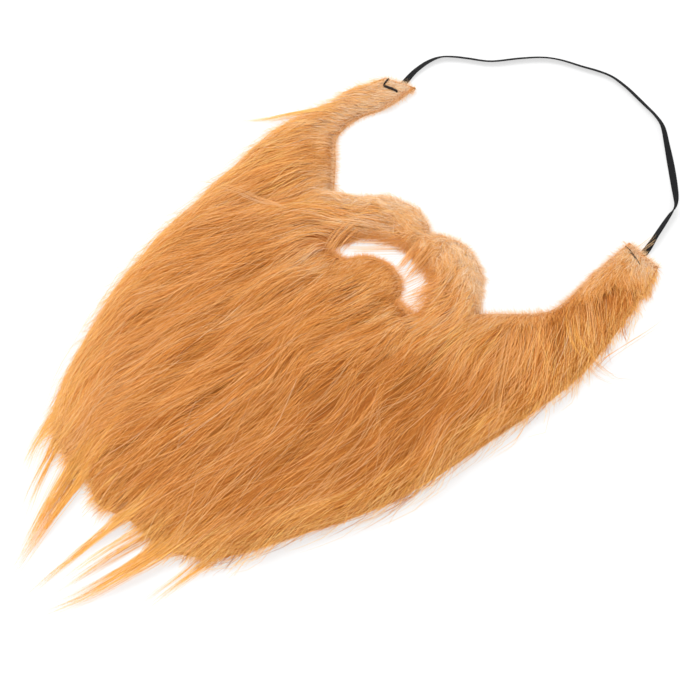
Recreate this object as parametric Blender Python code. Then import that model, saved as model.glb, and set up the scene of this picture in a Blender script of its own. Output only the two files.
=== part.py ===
"""Fake beard and moustache cut from long-pile fur cloth, worn with an elastic band round the head.

It lies fur side up: X runs across the face, the sideburns end towards +Y and the tip towards -Y, and the
cloth's underside rests at Z = 0. Metres, +Z up.
"""

import math

import bmesh
import bpy
from mathutils import Matrix, Vector, geometry

MM = 0.001

# Fur cloth: a knitted backing with its pile combed over it.
BACKING = 1.8 * MM  # knitted ground and pile roots at the cut edge
PILE_EDGE = 9 * MM  # distance over which the pile swells to its full height
OUTLINE_STEP = 9 * MM
HOLE_STEP = 7 * MM
INSET = 4.5 * MM  # ring of points inside every cut edge
RING_CLEAR = 0.8 * INSET  # a ring point nearer than this to another edge is left out
GRID = 17 * MM
GRID_ROW = 0.87 * GRID  # rows of a triangular grid
GRID_CLEAR = 1.9 * INSET
TAB_LIFT = 1.5 * MM  # the sideburn ends lie over the elastic
LIFT_FROM, LIFT_TO = 190 * MM, 212 * MM  # Y over which a sideburn rises to that height

# Cut pattern, in mm. The left outer edge runs from the sideburn's corner down to the chin.
LEFT_OUTER = (
    # x, y
    (-134.5, 227),
    (-140, 205),
    (-147, 163),
    (-151.5, 122),
    (-147, 82),
    (-139.5, 34),
    (-131, -16),
    (-120, -56),
    (-103, -96),
    (-84, -134),
    (-65, -158),
    (-42, -168),
    (-20, -169),
)
# The right one runs from the chin up to the sideburn's corner.
RIGHT_OUTER = (
    # x, y
    (-2, -175),
    (22, -168),
    (47, -167),
    (71, -155),
    (89.5, -132),
    (107.5, -94),
    (125, -55),
    (136, -16),
    (143.5, 34),
    (150.5, 82),
    (153, 122),
    (148, 164),
    (140.5, 205),
    (133.5, 230),
)
# The right sideburn's inner edge, from its corner to the moustache.
RIGHT_INNER = (
    # x, y
    (104.5, 233),
    (105, 188),
    (105, 154),
    (99, 140),
    (84, 124),
    (70, 110),
)
# The left one's edge has rolled under a little between its end and the cheek.
LEFT_INNER = (
    # x, y
    (-110, 236),
    (-112, 206),
    (-120, 184),
    (-118, 158),
    (-100, 138),
    (-78, 114),
)
# Right half of the moustache's edge, up to the notch. The left half mirrors it at MOUSTACHE_X.
MOUSTACHE_X = -3
MOUSTACHE_RIGHT = (
    # x, y
    (57, 125),
    (45, 139),
    (24, 148),
    (5, 144),
    (-3, 137.5),
)
# Mouth hole: an arch with the lower lip's lobe standing in it.
HOLE_X, HOLE_Y = 0 * MM, 77 * MM
HOLE_HALF_WIDTH, HOLE_HEIGHT = 43 * MM, 42 * MM
LIP_X, LIP_HALF_WIDTH, LIP_HEIGHT = -4 * MM, 24.5 * MM, 20 * MM

# Height of the combed pile over the backing: each spot pulls its surroundings towards its own height.
PILE_HEIGHTS = (
    # x, y, height, all in mm
    (-122, 222, 2.5),
    (118, 222, 2.5),
    (-135, 175, 6),
    (125, 175, 7),
    (-30, 128, 7),
    (24, 128, 7),
    (-120, 110, 9),
    (120, 110, 10),
    (0, 85, 6),
    (-70, 60, 11),
    (70, 60, 11),
    (0, 10, 14),
    (-95, -30, 11),
    (95, -30, 11),
    (0, -90, 12),
    (0, -165, 8),
)
PILE_REACH = 45 * MM

# Lie of the hair: degrees from straight down the beard, positive towards +X.
FLOW = (
    # x, y, degrees
    (-124, 222, -35),
    (-128, 190, -44),
    (-145, 150, -38),
    (-130, 115, -12),
    (-88, 92, -42),
    (-62, 112, -55),
    (-30, 134, -48),
    (-44, 100, -22),
    (-4, 128, 0),
    (22, 134, 42),
    (36, 100, 20),
    (56, 112, 30),
    (60, 80, 4),
    (110, 200, 12),
    (132, 196, 48),
    (124, 152, 48),
    (112, 118, 33),
    (142, 105, 20),
    (-115, 45, -34),
    (-60, 45, -12),
    (0, 60, 0),
    (60, 40, 6),
    (112, 25, 26),
    (-92, -20, -18),
    (-125, -45, 6),
    (-20, -30, 2),
    (30, 10, -22),
    (62, 5, 24),
    (50, -60, -2),
    (128, -50, -8),
    (-100, -95, 17),
    (-50, -110, 4),
    (0, -120, 0),
    (50, -120, -6),
    (100, -95, -18),
    (-75, -150, 27),
    (-25, -165, 20),
    (25, -165, -8),
    (72, -150, -17),
)
FLOW_REACH = 26 * MM

# Rows of locks, laid like shingles from the chin up. Each row runs between two X values.
LOCK_ROWS = (
    # y, first x, last x, locks, length, width, thickness, all in mm but the count
    (-128, -68, 66, 6, 44, 24, 6),
    (-96, -90, 90, 7, 80, 27, 8),
    (-60, -108, 108, 8, 86, 29, 8),
    (-24, -120, 120, 8, 90, 31, 9),
    (14, -128, 130, 8, 92, 32, 9),
    (54, -134, 136, 9, 94, 32, 9),
    (76, -42, 40, 4, 62, 22, 6),
    (90, -138, -66, 3, 84, 28, 8),
    (88, 66, 140, 3, 84, 28, 8),
    (130, -136, -110, 2, 76, 24, 7),
    (132, 108, 138, 2, 76, 24, 7),
    (172, -136, 126, 2, 70, 24, 6),
    (206, -128, 121, 2, 50, 22, 4),
)
MOUSTACHE_LOCKS = (
    # x, y, length, width, all in mm
    (-10, 135, 22, 15),
    (-26, 137, 34, 17),
    (-42, 133, 38, 17),
    (-56, 123, 40, 17),
    (-33, 122, 50, 15),
    (4, 135, 22, 15),
    (20, 137, 32, 17),
    (36, 134, 36, 17),
    (50, 124, 40, 17),
    (28, 120, 50, 15),
)
MOUSTACHE_LOCK_T = 4.5 * MM
# Long locks that pass the cut edge, each along a straight line.
TIP_LOCKS = (
    # x, y, degrees as in FLOW, length, width, thickness, in mm
    (-50, -146, 27, 98, 17, 6),
    (-25, -150, 15.5, 86, 9, 5),
    (22, -148, 0, 88, 10, 5),
    (34, -150, -8, 82, 14, 5),
    (64, -146, -15, 88, 18, 6),
    (86, -118, -6, 84, 7, 4),
    (-78, -126, 19, 78, 9, 5),
    (-62, -142, 24, 66, 6, 4),
    (-138, 168, -39, 47.1, 13, 5),
    (134, 152, 62, 38.2, 17, 6),
    (136, 84, 14, 62, 7, 5),
    (-128, -28, 7, 52, 8, 5),
    (119, -62, -14, 44, 7, 4),
)
LOCK_OVERHANG = 3.5 * MM  # how far a combed lock's side may pass the cut edge
LOCK_FLOOR, LOCK_ROUNDING = 0.3 * MM, 0.1 * MM  # lowest height of an underside, and its rise to the sides
EDGE_LOCK_RISE = 0.35  # height of a lock's middle over the backing beyond the cloth, in thicknesses
# Neighbouring locks differ a little in place, length and height, as combed hair does.
ROOT_SWAY_X, ROOT_SWAY_Y, LENGTH_SWAY = 3 * MM, 7 * MM, 0.12
COMBED_LIFT, MOUSTACHE_LIFT, TIP_LIFT = 0.5 * MM, 0.3 * MM, -0.2 * MM
SWAY_TURN, ROOT_TURN = 2.4, 3.1  # radians from one lock's sway to the next one's
LOCK_SECTIONS = (
    # share of the length, share of the width, share of the thickness, rise over the pile in thicknesses
    (0.0, 0.5, 0.6, -0.45),
    (0.2, 0.92, 0.95, -0.05),
    (0.45, 1.0, 1.0, 0.1),
    (0.7, 0.78, 0.8, 0.08),
    (0.87, 0.46, 0.5, 0.0),
    (1.0, 0.08, 0.16, -0.1),
)
LOCK_RING = (
    # across, up, in halves of width and thickness
    (-1.0, -0.5),
    (-0.55, 0.62),
    (0.08, 1.0),
    (0.6, 0.55),
    (1.0, -0.5),
    (0.0, -1.2),
)

# Stitches that hold the elastic, each a bar of thread in a spot where it presses the pile down.
STITCH_LENGTH, STITCH_WIDTH, STITCH_HEIGHT = 10.5 * MM, 1.8 * MM, 1.2 * MM
STITCH_CORNER = 0.35 * MM
STITCHES = (
    # name, x, y in mm, degrees from X
    ("stitch_left", -122, 220, 17.5),
    ("stitch_right", 114.5, 224, -17),
)
SPOT_LENGTH, SPOT_WIDTH, SPOT_CUT = 15 * MM, 6 * MM, 30 * MM
SPOT_FLOOR = TAB_LIFT + 2.4 * MM
GAP = 0.3 * MM

# Elastic: a flat woven band that leaves one sideburn, lies in a loop and ends under the other.
BAND_WIDTH, BAND_THICKNESS = 5.4 * MM, 0.9 * MM
BAND_REST = 0.15 * MM
BAND_STEP = 6 * MM
BAND_WELD = 0.02 * MM
BAND_ROUTE = (
    # x, y in mm, degrees that the band is turned about its length
    (-120.5, 217, 0),
    (-121, 232, 0),
    (-123, 243, -14),
    (-124, 252, -22),
    (-123.5, 264.5, -28),
    (-120, 275, -44),
    (-112.5, 283, -42),
    (-103.5, 289.5, -40),
    (-88.5, 300, -45),
    (-74.5, 318.5, -46),
    (-62.5, 332, -48),
    (-50.5, 340, -45),
    (-34, 346.5, -40),
    (-22, 351.5, -38),
    (-10, 354.5, -44),
    (5, 353.5, -38),
    (17.5, 351, -35),
    (28.5, 348.5, -36),
    (39, 346, -48),
    (50.5, 341, -46),
    (64.5, 328.5, -24),
    (79.5, 314.5, -4),
    (91.5, 302.5, -8),
    (102, 291, -34),
    (107, 283, -80),
    (108.5, 277, -118),
    (111.5, 263.5, -136),
    (114.5, 250, -142),
    (116.5, 241, -164),
    (117.5, 233, -180),
    (118.5, 218, -180),
)

BEARD = "Fake beard"


def clear_scene():
    for obj in list(bpy.data.objects):
        bpy.data.objects.remove(obj, do_unlink=True)


def new_collection(name):
    made = bpy.data.collections.new(name)
    bpy.context.scene.collection.children.link(made)
    return made


def material(name, color, roughness):
    made = bpy.data.materials.new(name)
    made.use_nodes = True
    shader = made.node_tree.nodes["Principled BSDF"]
    shader.inputs["Base Color"].default_value = (*color, 1)
    shader.inputs["Roughness"].default_value = roughness
    shader.inputs["Metallic"].default_value = 0
    made.diffuse_color = (*color, 1)
    return made


def object_from(bm, name, collection, look=None):
    bmesh.ops.recalc_face_normals(bm, faces=bm.faces[:])
    mesh = bpy.data.meshes.new(name)
    bm.to_mesh(mesh)
    bm.free()
    obj = bpy.data.objects.new(name, mesh)
    collection.objects.link(obj)
    if look:
        mesh.materials.append(look)
    return obj


def as_cutter(obj):
    obj.hide_render = True
    obj.display_type = "WIRE"


def boolean(obj, operation, other, use_self=False):
    """Applies one exact Boolean and leaves the result as the object's own mesh."""
    modifier = obj.modifiers.new(operation.title(), "BOOLEAN")
    modifier.operation = operation
    modifier.solver = "EXACT"
    modifier.use_self = use_self
    modifier.object = other
    graph = bpy.context.evaluated_depsgraph_get()
    result = bpy.data.meshes.new_from_object(obj.evaluated_get(graph))
    obj.modifiers.clear()
    obj.data = result


def smooth_step(low, high, value):
    share = min(1.0, max(0.0, (value - low) / (high - low)))
    return share * share * (3 - 2 * share)


def spline(rows, step):
    """Points about one step apart on a smooth curve through the rows, whose columns all vary together."""
    rows = [Vector(row) for row in rows]
    ends = [2 * rows[0] - rows[1], *rows, 2 * rows[-1] - rows[-2]]
    found = []
    for before, a, b, after in zip(ends, ends[1:], ends[2:], ends[3:]):
        count = max(1, round((b.xy - a.xy).length / step))
        for k in range(count):
            t = k / count
            found.append(
                0.5 * (2 * a + (b - before) * t + (2 * before - 5 * a + 4 * b - after) * t**2
                       + (3 * a - before - 3 * b + after) * t**3)
            )
    return [*found, rows[-1]]


def cut_outline():
    """The cut edge of the cloth, anticlockwise from where the right cheek meets the moustache."""
    edges = (
        (RIGHT_INNER[-1:] + MOUSTACHE_RIGHT, False),
        (tuple((2 * MOUSTACHE_X - x, y) for x, y in MOUSTACHE_RIGHT[::-1]) + LEFT_INNER[-1:], False),
        (LEFT_INNER[::-1], True),
        (LEFT_OUTER + RIGHT_OUTER, True),
        (RIGHT_INNER, False),
    )
    points = []
    for rows, keeps_last in edges:
        found = spline([(x * MM, y * MM) for x, y in rows], OUTLINE_STEP)
        points += found if keeps_last else found[:-1]
    return points


def hole_outline():
    """The mouth hole: over the arch from right to left, then back over the lip's lobe."""
    arch, lobe = [], []
    steps = round(math.pi * HOLE_HALF_WIDTH / HOLE_STEP / 1.2)
    for k in range(steps + 1):
        turn = math.pi * k / steps
        x, y = HOLE_HALF_WIDTH * math.cos(turn), HOLE_HEIGHT * math.sin(turn)
        arch.append(Vector((HOLE_X + x, HOLE_Y + y)))
    steps = round(math.pi * LIP_HALF_WIDTH / HOLE_STEP)
    for k in range(steps + 1):
        turn = math.pi * (1 - k / steps)
        x, y = LIP_HALF_WIDTH * math.cos(turn), LIP_HEIGHT * math.sin(turn)
        lobe.append(Vector((LIP_X + x, HOLE_Y + y)))
    return arch + lobe


def inside(point, loop):
    x, y = point[0], point[1]
    odd = False
    for a, b in zip(loop, loop[1:] + loop[:1]):
        if (a[1] > y) != (b[1] > y) and x < a[0] + (y - a[1]) * (b[0] - a[0]) / (b[1] - a[1]):
            odd = not odd
    return odd


def loop_distance(point, loop):
    best = math.inf
    for a, b in zip(loop, loop[1:] + loop[:1]):
        near, share = geometry.intersect_point_line(point, a, b)
        near = a if share < 0 else b if share > 1 else near
        best = min(best, (point - near.xy).length)
    return best


class Cloth:
    """The cut cloth: tells how far a point is inside it, how high its pile stands and how its hair lies."""

    def __init__(self, outline, hole):
        self.outline, self.hole = outline, hole

    def depth(self, point):
        """Distance inside the cut edge, negative outside the cloth."""
        far = min(loop_distance(point, self.outline), loop_distance(point, self.hole))
        whole = inside(point, self.outline) and not inside(point, self.hole)
        return far if whole else -far

    def pile(self, point):
        total = weight = 0.0
        for x, y, height in PILE_HEIGHTS:
            gap = (point - Vector((x, y)) * MM).length / PILE_REACH
            pull = 1 / (0.05 + gap * gap) ** 2
            total += pull * height * MM
            weight += pull
        return total / weight

    def underside(self, point):
        return TAB_LIFT * smooth_step(LIFT_FROM, LIFT_TO, point.y)

    def top(self, point, depth=None):
        depth = self.depth(point) if depth is None else depth
        swell = 1 - math.exp(-max(depth, 0.0) / PILE_EDGE)
        return self.underside(point) + BACKING + self.pile(point) * swell

    def inward(self, point):
        """Direction in which the cloth's middle lies, read from two small steps."""
        step = 1 * MM
        here = self.depth(point)
        return Vector(
            (self.depth(point + Vector((step, 0))) - here, self.depth(point + Vector((0, step))) - here)
        ).normalized()

    def flow(self, point):
        along = Vector((0.0, 0.0))
        for x, y, degrees in FLOW:
            gap = (point - Vector((x, y)) * MM).length / FLOW_REACH
            pull = 1 / (0.1 + gap * gap) ** 2
            turn = math.radians(degrees)
            along += pull * Vector((math.sin(turn), -math.cos(turn)))
        return along.normalized()


def triangulated(points, loops, cloth):
    """Triangles between the given points, with the loops' edges kept, that lie on the cloth."""
    edges = []
    for start, count in loops:
        edges += [(start + k, start + (k + 1) % count) for k in range(count)]
    found, _, faces = geometry.delaunay_2d_cdt(points, edges, [], 0, 1e-7)[:3]
    kept = []
    for face in faces:
        middle = sum((found[i] for i in face), Vector((0, 0))) / 3
        if inside(middle, cloth.outline) and not inside(middle, cloth.hole):
            kept.append(face)
    return found, kept


def cloth_body(cloth, collection, look):
    """The backing and the swell of pile on it, as one closed mesh."""
    rim = cloth.outline + cloth.hole
    loops = ((0, len(cloth.outline)), (len(cloth.outline), len(cloth.hole)))
    upper = list(rim)
    for loop in (cloth.outline, cloth.hole):
        for k, point in enumerate(loop):
            along = (loop[(k + 1) % len(loop)] - loop[k - 1]).normalized()
            for side in (1, -1):
                spot = point + side * INSET * Vector((-along.y, along.x))
                if cloth.depth(spot) > RING_CLEAR:
                    upper.append(spot)
    columns = range(round(min(p.x for p in rim) / GRID), round(max(p.x for p in rim) / GRID) + 1)
    for j in range(round(min(p.y for p in rim) / GRID_ROW), round(max(p.y for p in rim) / GRID_ROW) + 1):
        for i in columns:
            spot = Vector(((i + 0.5 * (j % 2)) * GRID, j * GRID_ROW))
            if cloth.depth(spot) > GRID_CLEAR:
                upper.append(spot)
    bm = bmesh.new()
    below = [bm.verts.new((p.x, p.y, cloth.underside(p))) for p in rim]
    edge = [bm.verts.new((p.x, p.y, cloth.underside(p) + BACKING)) for p in rim]
    found, faces = triangulated(upper, loops, cloth)
    above = edge + [bm.verts.new((p.x, p.y, cloth.top(p))) for p in found[len(rim):]]
    for face in faces:
        bm.faces.new([above[i] for i in face])
    for face in triangulated(rim, loops, cloth)[1]:
        bm.faces.new([below[i] for i in reversed(face)])
    for start, count in loops:
        for k in range(count):
            a, b = start + k, start + (k + 1) % count
            bm.faces.new((below[a], below[b], edge[b], edge[a]))
    return object_from(bm, "fur_beard", collection, look)


def lock_path(cloth, root, length, width):
    """Points down one lock that follows the lie of the hair and keeps its sides near the cloth."""
    point = Vector(root)
    path = []
    before = 0.0
    for share, wide, _, _ in LOCK_SECTIONS:
        along = cloth.flow(point)
        point = point + along * length * (share - before)
        before = share
        for _ in range(3):
            past = wide * width / 2 - LOCK_OVERHANG - cloth.depth(point)
            if past > 0:
                inward = cloth.inward(point)
                point = point + (inward - along * inward.dot(along)) * past
        path.append(point)
    return path


def straight_path(root, length, degrees):
    turn = math.radians(degrees)
    along = Vector((math.sin(turn), -math.cos(turn)))
    return [root + along * length * section[0] for section in LOCK_SECTIONS]


def add_lock(bm, cloth, path, width, thickness, lift=0.0):
    """One tapered lock as a closed loft, its root sunk in the pile and its tip laid on it."""
    rings = []
    for k, (point, (_, wide, thick, rise)) in enumerate(zip(path, LOCK_SECTIONS)):
        along = (path[min(k + 1, len(path) - 1)] - path[max(k - 1, 0)]).normalized()
        across = Vector((-along.y, along.x))
        depth = cloth.depth(point)
        ground = cloth.top(point, depth) if depth > 0 else BACKING + EDGE_LOCK_RISE * thickness * thick
        middle = ground + rise * thickness + lift
        ring = []
        for u, v in LOCK_RING:
            spot = point + across * u * wide * width / 2
            z = middle + v * thick * thickness / 2
            ring.append(bm.verts.new((spot.x, spot.y, max(z, LOCK_FLOOR + LOCK_ROUNDING * (v + 1)))))
        rings.append(ring)
    count = len(LOCK_RING)
    for ring, following in zip(rings, rings[1:]):
        for i in range(count):
            j = (i + 1) % count
            bm.faces.new((ring[i], ring[j], following[j], following[i]))
    bm.faces.new(rings[0])
    bm.faces.new(rings[-1][::-1])


def all_locks(cloth, collection):
    bm = bmesh.new()
    number = 0
    for y, first, last, count, length, width, thickness in LOCK_ROWS:
        for k in range(count):
            number += 1
            sway = math.sin(SWAY_TURN * number)
            x = (first + (last - first) * k / (count - 1)) * MM
            root = Vector((x + ROOT_SWAY_X * sway, y * MM + ROOT_SWAY_Y * math.cos(ROOT_TURN * number)))
            path = lock_path(cloth, root, length * (1 + LENGTH_SWAY * sway) * MM, width * MM)
            add_lock(bm, cloth, path, width * MM, thickness * MM, COMBED_LIFT * sway)
    for x, y, length, width in MOUSTACHE_LOCKS:
        number += 1
        path = lock_path(cloth, Vector((x, y)) * MM, length * MM, width * MM)
        add_lock(bm, cloth, path, width * MM, MOUSTACHE_LOCK_T, MOUSTACHE_LIFT * math.sin(SWAY_TURN * number))
    for x, y, degrees, length, width, thickness in TIP_LOCKS:
        number += 1
        path = straight_path(Vector((x, y)) * MM, length * MM, degrees)
        add_lock(bm, cloth, path, width * MM, thickness * MM, TIP_LIFT * math.sin(SWAY_TURN * number))
    locks = object_from(bm, "locks", collection)
    as_cutter(locks)
    return locks


def keep_outer_shell(obj):
    """Drops what a union can leave inside a body: shells other than the largest."""
    bm = bmesh.new()
    bm.from_mesh(obj.data)
    unseen = set(bm.verts)
    shells = []
    while unseen:
        stack = [unseen.pop()]
        shell = set(stack)
        while stack:
            for edge in stack.pop().link_edges:
                for vert in edge.verts:
                    if vert in unseen:
                        unseen.discard(vert)
                        shell.add(vert)
                        stack.append(vert)
        shells.append(shell)
    largest = max(shells, key=len)
    spare = [vert for vert in bm.verts if vert not in largest]
    bmesh.ops.delete(bm, geom=spare, context="VERTS")
    bm.to_mesh(obj.data)
    bm.free()


def rounded_bar(name, size, place, degrees, corner, collection, look=None):
    """A bar with rounded edges, its middle at the place."""
    bm = bmesh.new()
    bmesh.ops.create_cube(bm, size=1)
    bmesh.ops.scale(bm, vec=size, verts=bm.verts)
    bmesh.ops.bevel(bm, geom=bm.edges[:], offset=corner, segments=2, profile=0.5, affect="EDGES")
    bmesh.ops.rotate(bm, cent=(0, 0, 0), matrix=turned(degrees), verts=bm.verts)
    bmesh.ops.translate(bm, vec=place, verts=bm.verts)
    return object_from(bm, name, collection, look)


def turned(degrees):
    return Matrix.Rotation(math.radians(degrees), 3, "Z")


def press_spot(beard, x, y, degrees, collection):
    """Cuts the level spot in the pile where a stitch lies."""
    bm = bmesh.new()
    bmesh.ops.create_cone(bm, cap_ends=True, segments=12, radius1=0.5, radius2=0.5, depth=1)
    bmesh.ops.scale(bm, vec=(SPOT_LENGTH, SPOT_WIDTH, SPOT_CUT), verts=bm.verts)
    bmesh.ops.rotate(bm, cent=(0, 0, 0), matrix=turned(degrees), verts=bm.verts)
    bmesh.ops.translate(bm, vec=(x, y, SPOT_FLOOR + SPOT_CUT / 2), verts=bm.verts)
    spot = object_from(bm, "spot", collection)
    as_cutter(spot)
    boolean(beard, "DIFFERENCE", spot)


def elastic_band(collection, helpers, look):
    """The flat band as a curve with an oblong section, turned about its length point by point."""
    route = spline([(x * MM, y * MM, math.radians(turn)) for x, y, turn in BAND_ROUTE], BAND_STEP)
    section = bpy.data.curves.new("band_section", "CURVE")
    section.dimensions = "2D"
    corners = section.splines.new("POLY")
    corners.points.add(3)
    for point, (u, v) in zip(corners.points, ((-1, -1), (1, -1), (1, 1), (-1, 1))):
        point.co = (u * BAND_WIDTH / 2, v * BAND_THICKNESS / 2, 0, 1)
    corners.use_cyclic_u = True
    section_object = bpy.data.objects.new("band_section", section)
    helpers.objects.link(section_object)
    as_cutter(section_object)
    curve = bpy.data.curves.new("elastic_band", "CURVE")
    curve.dimensions = "3D"
    curve.twist_mode = "Z_UP"
    curve.bevel_mode = "OBJECT"
    curve.bevel_object = section_object
    curve.use_fill_caps = True
    line = curve.splines.new("POLY")
    line.points.add(len(route) - 1)
    for point, (x, y, turn) in zip(line.points, route):
        upright = abs(math.sin(turn)) * BAND_WIDTH / 2 + abs(math.cos(turn)) * BAND_THICKNESS / 2
        point.co = (x, y, BAND_REST + upright, 1)
        point.tilt = turn
    guide = bpy.data.objects.new("band_guide", curve)
    helpers.objects.link(guide)
    as_cutter(guide)
    graph = bpy.context.evaluated_depsgraph_get()
    bm = bmesh.new()
    bm.from_mesh(bpy.data.meshes.new_from_object(guide.evaluated_get(graph)))
    bmesh.ops.remove_doubles(bm, verts=bm.verts, dist=BAND_WELD)
    return object_from(bm, "elastic_band", collection, look)


def main():
    clear_scene()
    beard_parts = new_collection(BEARD)
    cutters = new_collection("Cutters")
    fur = material("Ginger fur", (0.66, 0.27, 0.08), 0.75)
    thread = material("Black thread", (0.02, 0.018, 0.018), 0.7)
    woven = material("Black elastic", (0.022, 0.022, 0.024), 0.65)

    cloth = Cloth(cut_outline(), hole_outline())
    beard = cloth_body(cloth, beard_parts, fur)
    boolean(beard, "UNION", all_locks(cloth, cutters), use_self=True)
    for name, x, y, degrees in STITCHES:
        press_spot(beard, x * MM, y * MM, degrees, cutters)
        height = SPOT_FLOOR + GAP + STITCH_HEIGHT / 2
        rounded_bar(
            name,
            (STITCH_LENGTH, STITCH_WIDTH, STITCH_HEIGHT),
            (x * MM, y * MM, height),
            degrees,
            STITCH_CORNER,
            beard_parts,
            thread,
        )
    keep_outer_shell(beard)
    elastic_band(beard_parts, cutters, woven)


main()
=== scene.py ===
import math

import bmesh
import bpy
import numpy as np
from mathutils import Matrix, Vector, geometry
from mathutils.bvhtree import BVHTree


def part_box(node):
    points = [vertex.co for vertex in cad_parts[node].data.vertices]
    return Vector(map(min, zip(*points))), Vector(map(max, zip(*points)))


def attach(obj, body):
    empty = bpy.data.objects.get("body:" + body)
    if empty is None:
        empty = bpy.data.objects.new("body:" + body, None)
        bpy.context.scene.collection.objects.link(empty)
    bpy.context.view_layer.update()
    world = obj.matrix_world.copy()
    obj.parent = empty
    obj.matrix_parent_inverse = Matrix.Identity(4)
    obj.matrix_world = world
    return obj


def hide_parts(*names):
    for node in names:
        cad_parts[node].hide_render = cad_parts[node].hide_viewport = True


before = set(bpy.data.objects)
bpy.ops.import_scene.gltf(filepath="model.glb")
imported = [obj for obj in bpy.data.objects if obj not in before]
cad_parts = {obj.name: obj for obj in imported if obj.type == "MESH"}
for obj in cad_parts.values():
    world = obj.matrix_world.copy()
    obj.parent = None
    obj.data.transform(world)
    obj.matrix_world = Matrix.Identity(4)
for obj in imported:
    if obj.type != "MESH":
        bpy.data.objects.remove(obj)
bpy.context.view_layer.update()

MM = 0.001

# Camera: it looks down at the beard across its lower right, as steeply as in the photograph, through
# a long lens.
AIM = Vector((16.2, 26.4, 0.0)) * MM
DISTANCE = 1.0606
AZIMUTH, ELEVATION, VIEW_ANGLE = math.radians(45), math.radians(55), math.radians(25)
towards = Vector((
    math.sin(AZIMUTH) * math.cos(ELEVATION),
    -math.cos(AZIMUTH) * math.cos(ELEVATION),
    math.sin(ELEVATION),
))
camera = bpy.data.objects.new("camera", bpy.data.cameras.new("camera"))
camera.data.sensor_fit = "HORIZONTAL"
camera.data.sensor_width = 36
camera.data.lens = 18 / math.tan(VIEW_ANGLE / 2)
camera.location = AIM + towards * DISTANCE
camera.rotation_euler = towards.to_track_quat("Z", "Y").to_euler()
camera.data.clip_start = 0.05
camera.data.clip_end = 20
bpy.context.scene.collection.objects.link(camera)
bpy.context.scene.camera = camera

# Floor and light: a white table under a bright studio, with a wide soft lamp at the left and a weaker one
# at the lower right, which leave only a faint shadow.
FLOOR_DROP = 0.3 * MM  # keeps the table's face clear of the cloth's
FLOOR_GLOW = 0.6  # it keeps the table white right up to the beard
FLOOR_HALF = 4  # in metres
STUDIO_LIGHT = 0.95
LAMP_SIZE = 1.1
bpy.context.scene.view_settings.view_transform = "Standard"


class Dye:
    """A socket of a material's nodes. Sums on it add Math nodes, and node() adds one of another kind."""

    def __init__(self, tree, socket=None):
        self.tree, self.socket = tree, socket

    def node(self, kind, settings=None, inputs=None, out=0):
        made = self.tree.nodes.new("ShaderNode" + kind)
        for key, value in (settings or {}).items():
            if key == "stops":
                ramp = made.color_ramp.elements
                while len(ramp) < len(value):
                    ramp.new(0.5)
                for stop, (place, color) in zip(ramp, value):
                    stop.position = place
                    stop.color = (*color, 1)
            else:
                setattr(made, key, value)
        for key, value in (inputs or {}).items():
            if isinstance(value, Dye):
                self.tree.links.new(value.socket, made.inputs[key])
            else:
                made.inputs[key].default_value = value
        return Dye(self.tree, made.outputs[out])

    def output(self, number):
        """Another output of the node that this socket belongs to."""
        return Dye(self.tree, self.socket.node.outputs[number])

    def feeds(self, shader, name):
        self.tree.links.new(self.socket, shader.inputs[name])

    def sum(self, operation, *values):
        return self.node("Math", {"operation": operation}, dict(enumerate(values)))

    def __add__(self, other):
        return self.sum("ADD", self, other)

    def __sub__(self, other):
        return self.sum("SUBTRACT", self, other)

    def __rsub__(self, other):
        return self.sum("SUBTRACT", other, self)

    def __mul__(self, other):
        return self.sum("MULTIPLY", self, other)

    __radd__, __rmul__ = __add__, __mul__


def finish_named(name, color, roughness):
    """A new material: its nodes to build on, its Principled shader and the material itself."""
    made = bpy.data.materials.new(name)
    made.use_nodes = True
    shader = made.node_tree.nodes["Principled BSDF"]
    shader.inputs["Base Color"].default_value = (*color, 1)
    shader.inputs["Roughness"].default_value = roughness
    return Dye(made.node_tree), shader, made


floor_dye, floor_shader, floor_finish = finish_named("white_table", (0.32, 0.32, 0.32), 0.6)
floor_shader.inputs["Specular IOR Level"].default_value = 0.2
floor_mottle = floor_dye.node("TexNoise", {}, {"Scale": 3.0, "Detail": 2.0})
floor_tint = floor_dye.node(
    "ValToRGB", {"stops": ((0.3, (0.315, 0.315, 0.315)), (0.7, (0.325, 0.325, 0.325)))}, {0: floor_mottle}
)
floor_tint.feeds(floor_shader, "Base Color")
floor_shader.inputs["Emission Color"].default_value = (1, 1, 1, 1)
floor_shader.inputs["Emission Strength"].default_value = FLOOR_GLOW
bm = bmesh.new()
bmesh.ops.create_grid(bm, x_segments=2, y_segments=2, size=FLOOR_HALF)
bmesh.ops.translate(bm, vec=(0, 0, -FLOOR_DROP), verts=bm.verts)
floor_mesh = bpy.data.meshes.new("floor")
bm.to_mesh(floor_mesh)
bm.free()
floor_mesh.materials.append(floor_finish)
floor = bpy.data.objects.new("floor", floor_mesh)
bpy.context.scene.collection.objects.link(floor)

world = bpy.data.worlds.new("studio")
world.use_nodes = True
world.node_tree.nodes["Background"].inputs["Color"].default_value = (1, 1, 1, 1)
world.node_tree.nodes["Background"].inputs["Strength"].default_value = STUDIO_LIGHT
bpy.context.scene.world = world
LAMPS = (
    # name, place in metres, power in watts
    ("soft_lamp", (-1.0, 0.15, 1.4), 18.2),
    ("fill_lamp", (0.95, -0.75, 1.1), 6.0),
)
for name, place, power in LAMPS:
    lamp = bpy.data.lights.new(name, "AREA")
    lamp.shape = "DISK"
    lamp.size = LAMP_SIZE
    lamp.energy = power
    lamp_object = bpy.data.objects.new(name, lamp)
    lamp_object.location = place
    lamp_object.rotation_euler = Vector(place).to_track_quat("Z", "Y").to_euler()
    bpy.context.scene.collection.objects.link(lamp_object)

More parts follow.
